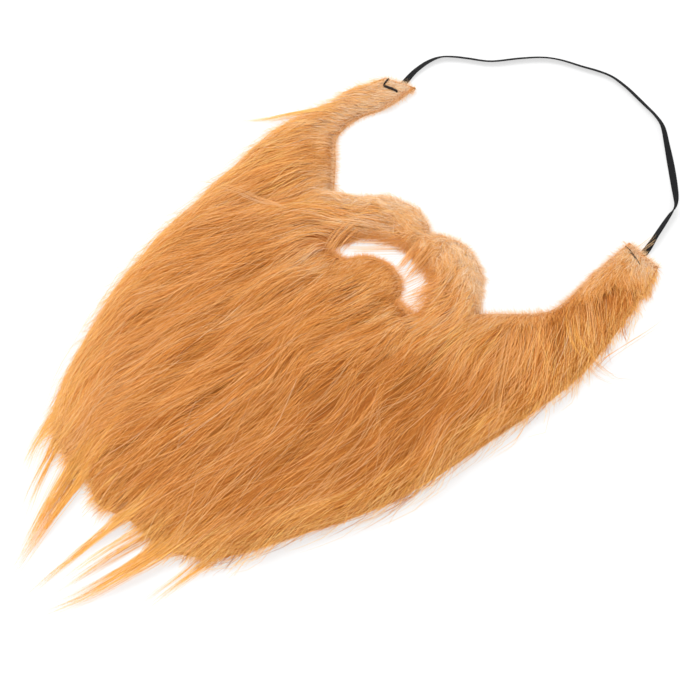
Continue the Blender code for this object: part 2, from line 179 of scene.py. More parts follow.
# Elastic: one length of flat black woven band. Its ends are sewn behind the sideburns, and it lies in a
# loose loop on the table, partly on its edge, with one half turn near the right sideburn.
BAND_WIDTH, BAND_THICKNESS = 5.4 * MM, 0.9 * MM
BAND_REST = 0.15 * MM
BAND_ROUTE = (
    # x, y in mm, degrees that the band is turned about its length
    (-120.5, 217, 0),
    (-121, 232, 0),
    (-123, 243, -14),
    (-124, 252, -22),
    (-123.5, 264.5, -28),
    (-120, 275, -39),
    (-112.5, 283, -37),
    (-103.5, 289.5, -36),
    (-88.5, 300, -38),
    (-74.5, 318.5, -38),
    (-62.5, 332, -39),
    (-50.5, 340, -38),
    (-34, 346.5, -36),
    (-22, 351.5, -35),
    (-10, 354.5, -37),
    (5, 353.5, -36),
    (17.5, 351, -35),
    (28.5, 348.5, -36),
    (39, 346, -39),
    (50.5, 341, -36),
    (64.5, 328.5, -24),
    (79.5, 314.5, -4),
    (91.5, 302.5, -8),
    (102, 291, -34),
    (107, 283, -80),
    (108.5, 277, -118),
    (111.5, 263.5, -136),
    (114.5, 250, -142),
    (116.5, 241, -164),
    (117.5, 233, -180),
    (118.5, 218, -180),
)
BAND_CORDS = 5  # rubber cords woven into the band, each a low rib
BAND_RIB = 0.1 * MM
SELVEDGE = 0.12 * MM  # half of its thickness at the two edges
WEFT_STEP, WARP_STEP = 0.55 * MM, 0.56 * MM


def smooth_line(rows, step):
    """Points about one step apart on a smooth curve through the rows, whose columns all vary together."""
    rows = np.array(rows, float)
    ends = np.vstack([2 * rows[0] - rows[1], rows, 2 * rows[-1] - rows[-2]])
    found = []
    for before, a, b, after in zip(ends, ends[1:], ends[2:], ends[3:]):
        count = max(1, round(float(np.hypot(*(b - a)[:2])) / step))
        t = (np.arange(count) / count)[:, None]
        found.append(
            0.5 * (2 * a + (b - before) * t + (2 * before - 5 * a + 4 * b - after) * t**2
                   + (3 * a - before - 3 * b + after) * t**3)
        )
    return np.vstack([*found, rows[-1:]])


def unit(vectors):
    return vectors / np.maximum(np.linalg.norm(vectors, axis=-1, keepdims=True), 1e-12)


def piece_from(name, verts, faces, look, uvs=None, uv_name="OFBake"):
    """A shown piece in the row's only body. Faces are rows of three or four vertex numbers."""
    mesh = bpy.data.meshes.new(name)
    mesh.vertices.add(len(verts))
    mesh.vertices.foreach_set("co", np.asarray(verts, np.float32).ravel())
    sizes = np.concatenate([np.full(len(group), group.shape[1]) for group in faces])
    corners = np.concatenate([group.ravel() for group in faces]).astype(np.int32)
    mesh.loops.add(len(corners))
    mesh.loops.foreach_set("vertex_index", corners)
    mesh.polygons.add(len(sizes))
    mesh.polygons.foreach_set("loop_start", np.concatenate([[0], np.cumsum(sizes)[:-1]]).astype(np.int32))
    mesh.update(calc_edges=True)
    mesh.shade_smooth()
    if uvs is not None:
        layer = mesh.uv_layers.new(name=uv_name)
        layer.data.foreach_set("uv", np.asarray(uvs, np.float32)[corners].ravel())
    mesh.materials.append(look)
    piece = bpy.data.objects.new(name, mesh)
    bpy.context.scene.collection.objects.link(piece)
    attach(piece, "root")
    return piece


band_line = smooth_line([(x * MM, y * MM, math.radians(turn)) for x, y, turn in BAND_ROUTE], 3 * MM)
turn = band_line[:, 2]
upright = np.abs(np.sin(turn)) * BAND_WIDTH / 2 + np.abs(np.cos(turn)) * BAND_THICKNESS / 2
band_path = np.column_stack([band_line[:, :2], BAND_REST + upright])
band_along = unit(np.gradient(band_path, axis=0))
band_side = unit(np.cross((0, 0, 1), band_along))
band_up = np.cross(band_along, band_side)
flat_way = band_side * np.cos(turn)[:, None] + band_up * np.sin(turn)[:, None]
thin_way = band_up * np.cos(turn)[:, None] - band_side * np.sin(turn)[:, None]
# The section: ribs over the cords on both faces, closed round the two selvedges.
across = np.linspace(-1, 1, 4 * BAND_CORDS + 1)
ribs = 0.5 - 0.5 * np.cos(across * BAND_CORDS * math.pi + math.pi)
face_height = BAND_THICKNESS / 2 - BAND_RIB * ribs
face_height[[0, -1]] = SELVEDGE
top_face = np.column_stack([across, face_height])
ring = np.vstack([top_face, (top_face * (1, -1))[::-1]])
band_verts = (
    band_path[:, None]
    + flat_way[:, None] * ring[None, :, :1] * (BAND_WIDTH / 2)
    + thin_way[:, None] * ring[None, :, 1:]
)
stations, around = band_verts.shape[:2]
k = np.arange(stations - 1)[:, None] * around
j = np.arange(around)[None]
band_faces = np.stack([k + j, k + (j + 1) % around, k + around + (j + 1) % around, k + around + j], -1)
ends = [np.array([[i, i + 1, around - 2 - i, around - 1 - i]]) for i in range(around // 2 - 1)]
ends = [cap[:, ::-1] for cap in ends] + [cap + (stations - 1) * around for cap in ends]
band_run = np.concatenate([[0], np.cumsum(np.linalg.norm(np.diff(band_path, axis=0), axis=1))])
band_uv = np.stack(np.broadcast_arrays(ring[:, 0] * BAND_WIDTH / 2, band_run[:, None]), -1)
elastic_dye, elastic_shader, elastic_finish = finish_named("black_elastic", (0.012, 0.012, 0.013), 0.8)
elastic_shader.inputs["Specular IOR Level"].default_value = 0.12
weave_place = elastic_dye.node("UVMap", {"uv_map": "weave"})
weave_across = elastic_dye.node("SeparateXYZ", {}, {0: weave_place})
weave_along = weave_across.output(1)
weft = elastic_dye.sum("SINE", weave_along * (2 * math.pi / WEFT_STEP))
warp = elastic_dye.sum("SINE", weave_across * (2 * math.pi / WARP_STEP))
basket = weft * warp
lint = elastic_dye.node("TexNoise", {}, {"Scale": 900.0, "Detail": 3.0, "Roughness": 0.7})
elastic_tint = elastic_dye.node(
    "ValToRGB",
    {"stops": (
        (0.25, (0.005, 0.005, 0.0055)),
        (0.62, (0.014, 0.014, 0.015)),
        (0.86, (0.045, 0.043, 0.042)),
    )},
    {0: basket * 0.16 + lint * 0.9},
)
elastic_tint.feeds(elastic_shader, "Base Color")
elastic_bump = elastic_dye.node(
    "Bump", {}, {"Strength": 0.6, "Distance": 0.12 * MM, "Height": basket * 0.5 + lint * 0.4}
)
elastic_bump.feeds(elastic_shader, "Normal")
elastic = piece_from(
    "elastic_band_woven",
    band_verts.reshape(-1, 3),
    [band_faces.reshape(-1, 4), np.vstack(ends)],
    elastic_finish,
    band_uv.reshape(-1, 2),
    "weave",
)
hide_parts("elastic_band")

# Knitted ground: the cloth that everything is cut from, a thin tan knit lying flat, with the crescent
# mouth hole cut in it. Its sideburn ends ride up over the elastic.
BACKING = 1.6 * MM
TAB_LIFT = 1.5 * MM
LIFT_FROM, LIFT_TO = 190 * MM, 212 * MM  # the sideburn ends rise between these
WALE_STEP, COURSE_STEP = 1.3 * MM, 0.9 * MM
RIGHT_INNER = ((104.5, 233), (105, 188), (105, 154), (99, 140), (84, 124), (70, 110))
LEFT_INNER = ((-110, 236), (-112, 206), (-120, 184), (-118, 158), (-100, 138), (-78, 114))
MOUSTACHE_X = -3
MOUSTACHE_RIGHT = ((57, 125), (45, 139), (24, 148), (5, 144), (-3, 137.5))
LEFT_OUTER = (
    (-134.5, 227), (-140, 205), (-147, 163), (-151.5, 122), (-147, 82), (-139.5, 34), (-131, -16),
    (-120, -56), (-103, -96), (-84, -134), (-65, -158), (-42, -168), (-20, -169),
)
RIGHT_OUTER = (
    (-2, -175), (22, -168), (47, -167), (71, -155), (89.5, -132), (107.5, -94), (125, -55), (136, -16),
    (143.5, 34), (150.5, 82), (153, 122), (148, 164), (140.5, 205), (133.5, 230),
)
HOLE_X, HOLE_Y = 0.0, 77 * MM
HOLE_HALF_WIDTH, HOLE_HEIGHT = 43 * MM, 42 * MM
LIP_X, LIP_HALF_WIDTH, LIP_HEIGHT = -4 * MM, 24.5 * MM, 20 * MM


def edge_line(rows, step=3 * MM):
    return smooth_line([(x * MM, y * MM) for x, y in rows], step)


moustache_left = tuple((2 * MOUSTACHE_X - x, y) for x, y in MOUSTACHE_RIGHT[::-1])
moustache_edge = np.vstack([
    edge_line(RIGHT_INNER[-1:] + MOUSTACHE_RIGHT)[:-1],
    edge_line(moustache_left + LEFT_INNER[-1:])[:-1],
])
left_inner_edge = edge_line(LEFT_INNER[::-1])
outer_edge = edge_line(LEFT_OUTER + RIGHT_OUTER)
right_inner_edge = edge_line(RIGHT_INNER)[:-1]
cut_edge = np.vstack([moustache_edge, left_inner_edge, outer_edge, right_inner_edge])
arch = np.linspace(0, math.pi, 44)
round_arch = np.column_stack([np.cos(arch), np.sin(arch)])
arch_edge = (HOLE_X, HOLE_Y) + round_arch * (HOLE_HALF_WIDTH, HOLE_HEIGHT)
lip_edge = (LIP_X, HOLE_Y) + round_arch[::-2] * (LIP_HALF_WIDTH, LIP_HEIGHT)
hole_edge = np.vstack([arch_edge, lip_edge])


def within(points, loop):
    """Whether each point lies inside a closed loop."""
    odd = np.zeros(len(points), bool)
    for (ax, ay), (bx, by) in zip(loop, np.roll(loop, -1, axis=0)):
        if ay != by:
            crosses = (ay > points[:, 1]) != (by > points[:, 1])
            odd ^= crosses & (points[:, 0] < ax + (points[:, 1] - ay) * (bx - ax) / (by - ay))
    return odd


def edge_distance(points, loop):
    best = np.full(len(points), np.inf)
    for a, b in zip(loop, np.roll(loop, -1, axis=0)):
        span = b - a
        share = np.clip((points - a) @ span / max(span @ span, 1e-12), 0, 1)
        best = np.minimum(best, np.linalg.norm(points - a - share[:, None] * span, axis=1))
    return best


def step_up(low, high, value):
    share = np.clip((value - low) / (high - low), 0, 1)
    return share * share * (3 - 2 * share)


def tab_lift(y):
    return TAB_LIFT * step_up(LIFT_FROM, LIFT_TO, y)


# Maps of the cloth, a value every 2 mm: how deep each spot lies inside the whole cut, inside the outline
# and inside the mouth hole, the ways to these edges, and how high the combed locks stand.
MAP_STEP = 2 * MM
map_x = np.arange(-200, 201, 2) * MM
map_y = np.arange(-260, 261, 2) * MM
spots = np.stack(np.meshgrid(map_x, map_y), -1)
flat_spots = spots.reshape(-1, 2)
on_cloth = within(flat_spots, cut_edge) & ~within(flat_spots, hole_edge)
depth_map = np.minimum(edge_distance(flat_spots, cut_edge), edge_distance(flat_spots, hole_edge))
depth_map = np.where(on_cloth, depth_map, -depth_map).reshape(spots.shape[:2])
outer_map = edge_distance(flat_spots, cut_edge) * np.where(within(flat_spots, cut_edge), 1, -1)
outer_map = outer_map.reshape(spots.shape[:2])
inward_map = np.stack(np.gradient(outer_map, MAP_STEP)[::-1], -1)
hole_map = edge_distance(flat_spots, arch_edge) * np.where(within(flat_spots, arch_edge), 1, -1)
hole_map = hole_map.reshape(spots.shape[:2])
hole_way = np.stack(np.gradient(hole_map, MAP_STEP)[::-1], -1)
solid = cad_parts["fur_beard"]
solid_points = [solid.matrix_world @ v.co for v in solid.data.vertices]
tree = BVHTree.FromPolygons(solid_points, [tuple(p.vertices) for p in solid.data.polygons])
height_map = np.zeros(len(flat_spots))
for n, (x, y) in enumerate(flat_spots):
    hit = tree.ray_cast(Vector((x, y, 0.1)), Vector((0, 0, -1)))[0]
    height_map[n] = hit.z if hit else 0.0
height_map = height_map.reshape(spots.shape[:2])


def blurred(grid, times):
    for _ in range(times):
        padded = np.pad(grid, 1, mode="edge")
        rows, columns = grid.shape
        grid = sum(
            padded[dy:dy + rows, dx:dx + columns] * weight_x * weight_y
            for dx, weight_x in enumerate((1, 2, 1)) for dy, weight_y in enumerate((1, 2, 1))
        ) / 16
    return grid


lock_height = blurred(height_map, 2)


def read_map(grid, points):
    """Values of a map of the cloth at any points, whose last axis is x, y."""
    u = np.clip((points[..., 0] - map_x[0]) / MAP_STEP, 0, len(map_x) - 1.001)
    v = np.clip((points[..., 1] - map_y[0]) / MAP_STEP, 0, len(map_y) - 1.001)
    i, j = u.astype(int), v.astype(int)
    u, v = u - i, v - j
    return (
        grid[j, i] * (1 - u) * (1 - v) + grid[j, i + 1] * u * (1 - v)
        + grid[j + 1, i] * (1 - u) * v + grid[j + 1, i + 1] * u * v
    )


def cloth_triangles(rim, loops, inner):
    """Points and triangles over the cut cloth, with its edges kept."""
    points = [Vector(p) for p in np.vstack([rim, inner])]
    edges = [(start + k, start + (k + 1) % count) for start, count in loops for k in range(count)]
    found, _, faces = geometry.delaunay_2d_cdt(points, edges, [], 0, 1e-7)[:3]
    found = np.array([tuple(p) for p in found])
    faces = np.array([tuple(face) for face in faces])
    middles = found[faces].mean(axis=1)
    return found, faces[within(middles, cut_edge) & ~within(middles, hole_edge)]


def closed_cloth(name, low, high, inner, look):
    """A piece over the whole cut, between a lower and an upper height, both functions of the points."""
    rim = np.vstack([cut_edge, hole_edge])
    loops = ((0, len(cut_edge)), (len(cut_edge), len(hole_edge)))
    points, faces = cloth_triangles(rim, loops, inner)
    below = np.column_stack([points, low(points)])
    above = np.column_stack([points, high(points)])
    sides = []
    for start, count in loops:
        a = start + np.arange(count)
        b = start + (np.arange(count) + 1) % count
        sides.append(np.column_stack([a, b, b + len(points), a + len(points)]))
    shell = [faces[:, ::-1], faces + len(points), np.vstack(sides)]
    return piece_from(name, np.vstack([below, above]), shell, look)


def grid_over(step):
    """Points all over the box of the cloth, so many millimetres apart."""
    grid = np.meshgrid(np.arange(-160, 161, step), np.arange(-180, 237, step))
    return np.stack(grid, -1).reshape(-1, 2) * MM


knit_dye, knit_shader, knit_finish = finish_named("tan_knit", (0.70, 0.40, 0.19), 0.9)
knit_place = knit_dye.node("TexCoord", {}, {}, "Object")
knit_axes = knit_dye.node("SeparateXYZ", {}, {0: knit_place})
wale = knit_dye.sum("SINE", knit_axes * (2 * math.pi / WALE_STEP))
course = knit_dye.sum("SINE", knit_axes.output(1) * (2 * math.pi / COURSE_STEP))
loops_relief = wale * wale * 0.6 + course * 0.2
knit_fuzz = knit_dye.node("TexNoise", {}, {"Scale": 400.0, "Detail": 4.0})
knit_tint = knit_dye.node(
    "ValToRGB",
    {"stops": ((0.2, (0.42, 0.20, 0.08)), (0.6, (0.68, 0.38, 0.17)), (0.95, (0.80, 0.52, 0.28)))},
    {0: loops_relief * 0.6 + knit_fuzz * 0.6},
)
knit_tint.feeds(knit_shader, "Base Color")
knit_bump = knit_dye.node(
    "Bump", {}, {"Strength": 0.8, "Distance": 0.3 * MM, "Height": loops_relief + knit_fuzz * 0.5}
)
knit_bump.feeds(knit_shader, "Normal")
inner_grid = grid_over(8)
inner_grid = inner_grid[read_map(depth_map, inner_grid) > 4 * MM]
knit = closed_cloth(
    "knitted_ground",
    lambda p: tab_lift(p[:, 1]),
    lambda p: tab_lift(p[:, 1]) + BACKING,
    inner_grid,
    knit_finish,
)
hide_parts("fur_beard")

# Under-pile: the dense short fibre at the foot of the long hair. It fills the body of the fur up to just
# below the combed locks, so that nothing shows through between them.
UNDER_GAP = 3.2 * MM
UNDER_SLOPE = 12 * MM
under_dye, under_shader, under_finish = finish_named("ginger_under_pile", (0.5, 0.2, 0.06), 0.85)
under_place = under_dye.node("TexCoord", {}, {}, "Object")
combed_place = under_dye.node("Mapping", {}, {0: under_place, "Scale": (1.0, 0.09, 1.0)})
streaks = under_dye.node(
    "TexNoise", {}, {"Vector": combed_place, "Scale": 700.0, "Detail": 5.0, "Roughness": 0.7}
)
patches = under_dye.node("TexNoise", {}, {"Scale": 60.0, "Detail": 2.0})
# Partly painted shade: the under-pile is tinted darker than the long hair, as the depth of the fur lies in
# shadow.
under_tint_and_shade = under_dye.node(
    "ValToRGB",
    {"stops": ((0.3, (0.38, 0.125, 0.022)), (0.5, (0.58, 0.21, 0.045)), (0.75, (0.78, 0.36, 0.10)))},
    {0: streaks * 0.8 + patches * 0.2},
)
under_tint_and_shade.feeds(under_shader, "Base Color")
under_bump = under_dye.node("Bump", {}, {"Strength": 1.0, "Distance": 0.8 * MM, "Height": streaks})
under_bump.feeds(under_shader, "Normal")
fine_grid = grid_over(3.5)
fine_grid = fine_grid[read_map(depth_map, fine_grid) > 2.2 * MM]


def under_height(points):
    foot = tab_lift(points[:, 1]) + BACKING
    swell = step_up(0, UNDER_SLOPE, read_map(depth_map, points))
    return foot + 0.1 * MM + np.maximum(read_map(lock_height, points) - UNDER_GAP - foot, 0) * swell


under_pile = closed_cloth(
    "under_pile",
    lambda p: tab_lift(p[:, 1]) + BACKING + 0.05 * MM,
    under_height,
    fine_grid,
    under_finish,
)

# Long pile: the combed ginger hair, rooted all over the knit. It is grown in clumps, each round one guide
# hair that follows the lie of the fur, and every hair is a thin ribbon that narrows to its tip.
FLOW = (
    # x, y in mm, degrees from straight down the beard, positive towards +X
    (-124, 222, -35),
    (-128, 190, -44),
    (-145, 150, -34),
    (-126, 118, -24),
    (-116, 76, -14),
    (-98, 96, -8),
    (-94, 51, -20),
    (-70, 28, -6),
    (-80, 66, -28),
    (-62, 112, -55),
    (-48, 94, -54),
    (-30, 128, -62),
    (-14, 132, -56),
    (-2, 126, -6),
    (3, 112, 0),
    (22, 134, 42),
    (34, 112, 6),
    (42, 94, -10),
    (56, 112, 26),
    (63, 76, -4),
    (110, 200, 4),
    (132, 196, 48),
    (124, 152, 36),
    (114, 120, 30),
    (138, 104, 30),
    (84, 96, -6),
    (117, 85, 10),
    (-110, 34, -22),
    (-88, 10, -18),
    (-52, 46, -8),
    (-38, 66, 2),
    (-11, 42, 4),
    (-20, 24, -2),
    (8, 58, 0),
    (-104, -20, -17),
    (-70, -20, -11),
    (-30, -20, -7),
    (-4, 4, 2),
    (14, 20, -16),
    (28, 36, -20),
    (46, 50, 10),
    (14, -16, 22),
    (-3, -36, -10),
    (32, 0, -12),
    (68, 0, 30),
    (50, 18, 0),
    (86, 14, -8),
    (76, 46, 4),
    (100, 70, 20),
    (120, 42, 4),
    (134, 70, 16),
    (36, -38, 8),
    (52, -24, -6),
    (104, -6, 12),
    (122, 10, 22),
    (136, 26, 4),
    (-92, -84, 4),
    (-56, -70, -8),
    (-10, -70, -13),
    (18, -56, 2),
    (60, -60, -6),
    (90, -40, 0),
    (118, -36, 3),
    (-70, -134, 22),
    (-36, -120, -18),
    (10, -120, -4),
    (50, -110, -3),
    (90, -94, -2),
    (110, -78, -16),
    (-50, -160, 2),
    (-24, -172, 0),
    (10, -150, -2),
    (40, -150, -4),
    (72, -150, -8),
)
FLOW_REACH = 26 * MM
LENGTHS = (
    # x, y in mm, hair length in mm, paleness from 0 to 1
    (-122, 230, 9, 0.74),
    (-122, 214, 14, 0.66),
    (-132, 198, 28, 0.60),
    (-138, 165, 46, 0.50),
    (-118, 125, 62, 0.32),
    (124, 226, 10, 0.66),
    (112, 210, 16, 0.36),
    (108, 192, 22, 0.36),
    (134, 192, 40, 0.06),
    (126, 158, 54, -0.08),
    (104, 116, 60, 0.28),
    (144, 104, 64, -0.02),
    (-30, 145, 12, 0.64),
    (-50, 134, 16, 0.68),
    (-68, 119, 26, 0.54),
    (24, 145, 12, 0.70),
    (44, 135, 15, 0.64),
    (62, 118, 26, 0.48),
    (-4, 130, 12, 0.50),
    (-36, 122, 36, 0.50),
    (-22, 122, 22, 0.64),
    (-44, 100, 50, 0.44),
    (14, 122, 20, 0.54),
    (32, 120, 34, 0.50),
    (46, 104, 44, 0.42),
    (0, 92, 20, 0.34),
    (-90, 98, 54, 0.36),
    (76, 98, 54, 0.36),
    (0, 60, 60, 0.26),
    (-90, 40, 80, 0.24),
    (90, 44, 80, 0.10),
    (76, 4, 84, 0.02),
    (130, 12, 80, 0.0),
    (0, -20, 86, 0.18),
    (-64, -76, 86, 0.27),
    (60, -80, 86, 0.06),
    (-60, -150, 56, 0.30),
    (0, -150, 50, 0.11),
    (60, -150, 56, 0.02),
)
LENGTH_REACH = 20 * MM
GUIDE_SPACING = 6.0 * MM
HAIRS_PER_CLUMP = 24
CLUMP_RADIUS = 5.6 * MM
CLUMP_SWAY, CLUMP_TONE = 0.09, 0.045  # how far clumps differ in their lie, in radians, and in paleness
HAIR_CURL, HAIR_TONE = 3.4 * MM, 0.165  # how far the hairs of a clump differ
HAIR_WIDTH = 0.29 * MM
PILE_POINTS = 6
RIPPLE = 0.08  # how far the whole fur waves to and fro, in radians
RIPPLE_STEP, WHORL_STEP = 62 * MM, 15 * MM  # how long such a wave is, and one in the nap of the moustache
HEAD_ON = -0.6  # cosine between a hair and the way inwards, below which it meets the edge head on
HANG_X = (-30 * MM, 6 * MM, 30 * MM)
HANG = (4 * MM, 8 * MM, 15 * MM)  # how far hair hangs into the mouth hole at each of these X
# Partly painted light: the pile is paler along the cuts, as light comes through the thinner fur there.
PALE_LIT_RIM = 12 * MM  # along the cuts the pile turns paler over this width
SHORT_PILE = 24 * MM  # below this length the fur is a plain nap, with no clumps
chance = np.random.default_rng(7)


def spread(rows, points, reach, soft):
    """Each point's average of the rows' further columns, weighted towards the nearest rows."""
    rows = np.array(rows, float)
    total, weight = 0.0, 0.0
    for row in rows:
        gap = ((points - row[:2] * MM) ** 2).sum(-1) / reach**2
        pull = 1 / (soft + gap) ** 2
        total = total + pull[..., None] * row[2:]
        weight = weight + pull
    return total / weight[..., None]


flow_rows = [(x, y, math.sin(math.radians(turn)), -math.cos(math.radians(turn))) for x, y, turn in FLOW]
flow_map = unit(spread(flow_rows, spots, FLOW_REACH, 0.1))


def waves_over_cloth(step, count):
    """A map of the mean of some random waves, each about a step long."""
    waves = [(chance.normal(0, 2 * math.pi / step, 2), chance.uniform(0, 6.3)) for _ in range(count)]
    return sum(np.sin(spots @ wave + phase) for wave, phase in waves) / count


ripple = waves_over_cloth(RIPPLE_STEP, 7)
whorl = waves_over_cloth(WHORL_STEP, 6)
on_moustache = step_up(106 * MM, 120 * MM, spots[..., 1]) * step_up(82 * MM, 68 * MM, abs(spots[..., 0]))
whorl *= 0.25 + on_moustache
hair_rows = spread(LENGTHS, spots, LENGTH_REACH, 0.08)
length_map, pale_map = hair_rows[..., 0] * MM, hair_rows[..., 1]


def turned_by(vectors, angle):
    x, y = vectors[..., 0], vectors[..., 1]
    c, s = np.cos(angle), np.sin(angle)
    return np.stack([x * c - y * s, x * s + y * c], -1)


def line_gap(lines):
    """A map of the distance to the nearest of these open lines."""
    gap = np.full(len(flat_spots), np.inf)
    for line in lines:
        for a, b in zip(line[:-1], line[1:]):
            span = b - a
            along = np.clip((flat_spots - a) @ span / (span @ span), 0, 1)
            gap = np.minimum(gap, np.linalg.norm(flat_spots - a - along[:, None] * span, axis=1))
    return gap.reshape(spots.shape[:2])


right_tab_end = np.vstack([outer_edge[-1:], right_inner_edge[:1]])
left_tab_end = np.vstack([left_inner_edge[-1:], outer_edge[:1]])
inner_map = line_gap([right_tab_end, right_inner_edge, moustache_edge, left_inner_edge, left_tab_end])
lip_map = line_gap([lip_edge])


def read_way(grid, points):
    return np.stack([read_map(grid[..., 0], points), read_map(grid[..., 1], points)], -1)


def combed(roots, lengths, sway, overhang, points=PILE_POINTS, whorled=0.0):
    """Paths from the roots down the lie of the fur, in plan. Past the outer edge by the overhang they bend
    along it, or end if they meet it head on, and over the mouth hole they hang only a little way."""
    path = [roots]
    here = roots
    step = (lengths / (points - 1))[:, None]
    from_arch = read_map(hole_map, roots) < 0
    hole_reach = chance.uniform(0.3, 1.3, len(roots))
    for _ in range(points - 1):
        along = unit(read_way(flow_map, here))
        along = turned_by(along, RIPPLE * read_map(ripple, here) + whorled * read_map(whorl, here) + sway)
        onward = here + along * step
        inward = unit(read_way(inward_map, onward))
        past = np.maximum(-read_map(outer_map, onward) - overhang, 0)[:, None]
        head_on = (along * inward).sum(-1, keepdims=True) < HEAD_ON
        shorter = here + along * np.maximum(step - past, 0.06 * step)
        here = np.where(head_on, shorter, onward + inward * past)
        sunk = read_map(hole_map, here)
        limit = hole_reach * np.interp(here[:, 0], HANG_X, HANG)
        past = np.where(from_arch, np.maximum(sunk - limit, 0), 0)
        here = here - unit(read_way(hole_way, here)) * past[:, None]
        path.append(here)
    return np.stack(path, 1)


def ribbons(name, paths, widths, tones, look, foot=0.0):
    """One piece of hair ribbons. Their map holds the tone across and root to tip upwards. It starts at the
    foot's share of the hair where the root is in plain sight, so that such a root takes less of the
    painted root shade."""
    count, points = paths.shape[:2]
    along = unit(np.gradient(paths, axis=1))
    level = unit(np.cross(along, (0, 0, 1)))
    other = np.cross(along, level)
    roll = chance.uniform(-0.75, 0.75, count)[:, None, None]
    side = level * np.cos(roll) + other * np.sin(roll)
    taper = np.interp(np.linspace(0, 1, points), (0, 0.12, 0.6, 0.85, 1), (0.7, 1, 0.95, 0.6, 0.0))
    half = side * (widths[:, None] * taper / 2)[..., None]
    left, right = paths - half, paths + half
    verts = np.stack([left, right], 2)[:, :-1].reshape(count, -1, 3)
    verts = np.concatenate([verts, paths[:, -1:]], 1)
    per = 2 * points - 1
    base = (np.arange(count) * per)[:, None]
    k = np.arange(points - 2)[None] * 2
    quads = np.stack([base + k, base + k + 1, base + k + 3, base + k + 2], -1).reshape(-1, 4)
    tips = np.stack([base + per - 3, base + per - 2, base + per - 1], -1).reshape(-1, 3)
    tones = np.clip(tones, 0.02, 0.97)
    foot = np.broadcast_to(foot, (count,))[:, None]
    rise = foot + (1 - foot) * np.linspace(0.01, 0.99, points)
    uv = np.empty((count, per, 2))
    uv[:, :-1:2, 0] = tones[:, None] - 0.004
    uv[:, 1:-1:2, 0] = tones[:, None] + 0.004
    uv[:, -1, 0] = tones
    uv[:, :-1:2, 1] = rise[:, :-1]
    uv[:, 1:-1:2, 1] = rise[:, :-1]
    uv[:, -1, 1] = rise[:, -1]
    return piece_from(name, verts.reshape(-1, 3), [quads, tips], look, uv.reshape(-1, 2))


def laid_height(plan, lift, sink=2.6 * MM, hang=0.45):
    """Heights of hairs over the locks. Their roots are sunk in the pile, and past an edge they drop by no
    more than the hang over each metre of their run."""
    share = np.linspace(0, 1, plan.shape[1])
    ground = np.maximum(read_map(lock_height, plan), 0.4 * MM)
    z = ground + lift[:, None] - sink * np.clip(1 - share / 0.2, 0, 1)
    for i in range(1, plan.shape[1]):
        run = np.linalg.norm(plan[:, i] - plan[:, i - 1], axis=1)
        z[:, i] = np.maximum(z[:, i], z[:, i - 1] - hang * run)
    return np.maximum(z, 0.25 * MM)


def hair_look(name, glow_from, glow_to, glow_most):
    """Ginger hair by its tone and its way from root to tip. Light passes through the thin end of a lock,
    and this is painted into its colour, which turns yellower towards the tip than the body of the fur.
    Painted shade darkens the roots, deep in the pile."""
    dye, shader, look = finish_named(name, (0.8, 0.35, 0.1), 0.5)
    tone = dye.node("SeparateXYZ", {}, {0: dye.node("UVMap", {"uv_map": "OFBake"})})
    root_to_tip = tone.output(1)
    thick = dye.node(
        "ValToRGB",
        {"stops": (
            (0.0, (0.45, 0.13, 0.0148)),
            (0.2, (0.70, 0.25, 0.040)),
            (0.42, (0.84, 0.385, 0.105)),
            (0.68, (0.86, 0.52, 0.255)),
            (1.0, (0.89, 0.70, 0.52)),
        )},
        {0: tone},
    )
    # Painted light: the yellower, paler colour that light passing through a thin hair end gives it.
    thin = dye.node(
        "ValToRGB",
        {"stops": (
            (0.0, (0.66, 0.25, 0.028)),
            (0.3, (0.91, 0.47, 0.10)),
            (0.6, (0.96, 0.64, 0.24)),
            (1.0, (0.95, 0.76, 0.48)),
        )},
        {0: tone},
    )
    glow_share = dye.node("MapRange", {}, {0: root_to_tip, 1: glow_from, 2: glow_to, 3: 0.0, 4: glow_most})
    blend = dye.node("Mix", {"data_type": "RGBA"}, {0: glow_share, 6: thick, 7: thin}, 2)
    # Painted shade: the roots, deep in the pile, are painted darker towards the foot of each hair.
    shade = dye.node(
        "ValToRGB",
        {"stops": ((0.0, (0.6, 0.5, 0.4)), (0.22, (0.93, 0.9, 0.86)), (1.0, (1, 1, 1)))},
        {0: root_to_tip},
    )
    darkened = {"data_type": "RGBA", "blend_type": "MULTIPLY"}
    color = dye.node("Mix", darkened, {0: 1.0, 6: blend, 7: shade}, 2)
    color.feeds(shader, "Base Color")
    shader.inputs["Specular IOR Level"].default_value = 0.2
    return look


# Both finishes paint the light that passes through the hair's ends into their colour; the tips' finish
# paints it over most of each hair.
hair_finish = hair_look("ginger_hair", 0.5, 1.0, 0.45)
lit_tip_finish = hair_look("ginger_tips_lit_through", 0.12, 0.5, 1.0)

# A guide hair for each clump, all over the long pile. One in ten goes further past the edge.
cell_x = np.arange(-165 * MM, 165 * MM, GUIDE_SPACING)
cell_y = np.arange(-180 * MM, 240 * MM, GUIDE_SPACING)
cells = np.stack(np.meshgrid(cell_x, cell_y), -1).reshape(-1, 2)
guides = cells + chance.uniform(-0.5, 0.5, cells.shape) * GUIDE_SPACING
long_enough = read_map(length_map, guides) > SHORT_PILE * 0.8
guides = guides[(read_map(depth_map, guides) > 0.8 * MM) & long_enough]
guide_length = read_map(length_map, guides) * chance.uniform(0.85, 1.12, len(guides))
guide_overhang = chance.uniform(-10, 0.5, len(guides)) + 6 * (chance.uniform(0, 1, len(guides)) < 0.1)
guide_overhang = (guide_overhang - 1.5) * MM
guide_paths = combed(guides, guide_length, chance.normal(0, CLUMP_SWAY, len(guides)), guide_overhang)
guide_tone = chance.normal(0, CLUMP_TONE, len(guides))
guide_gather = chance.uniform(0.1, 0.7, len(guides))
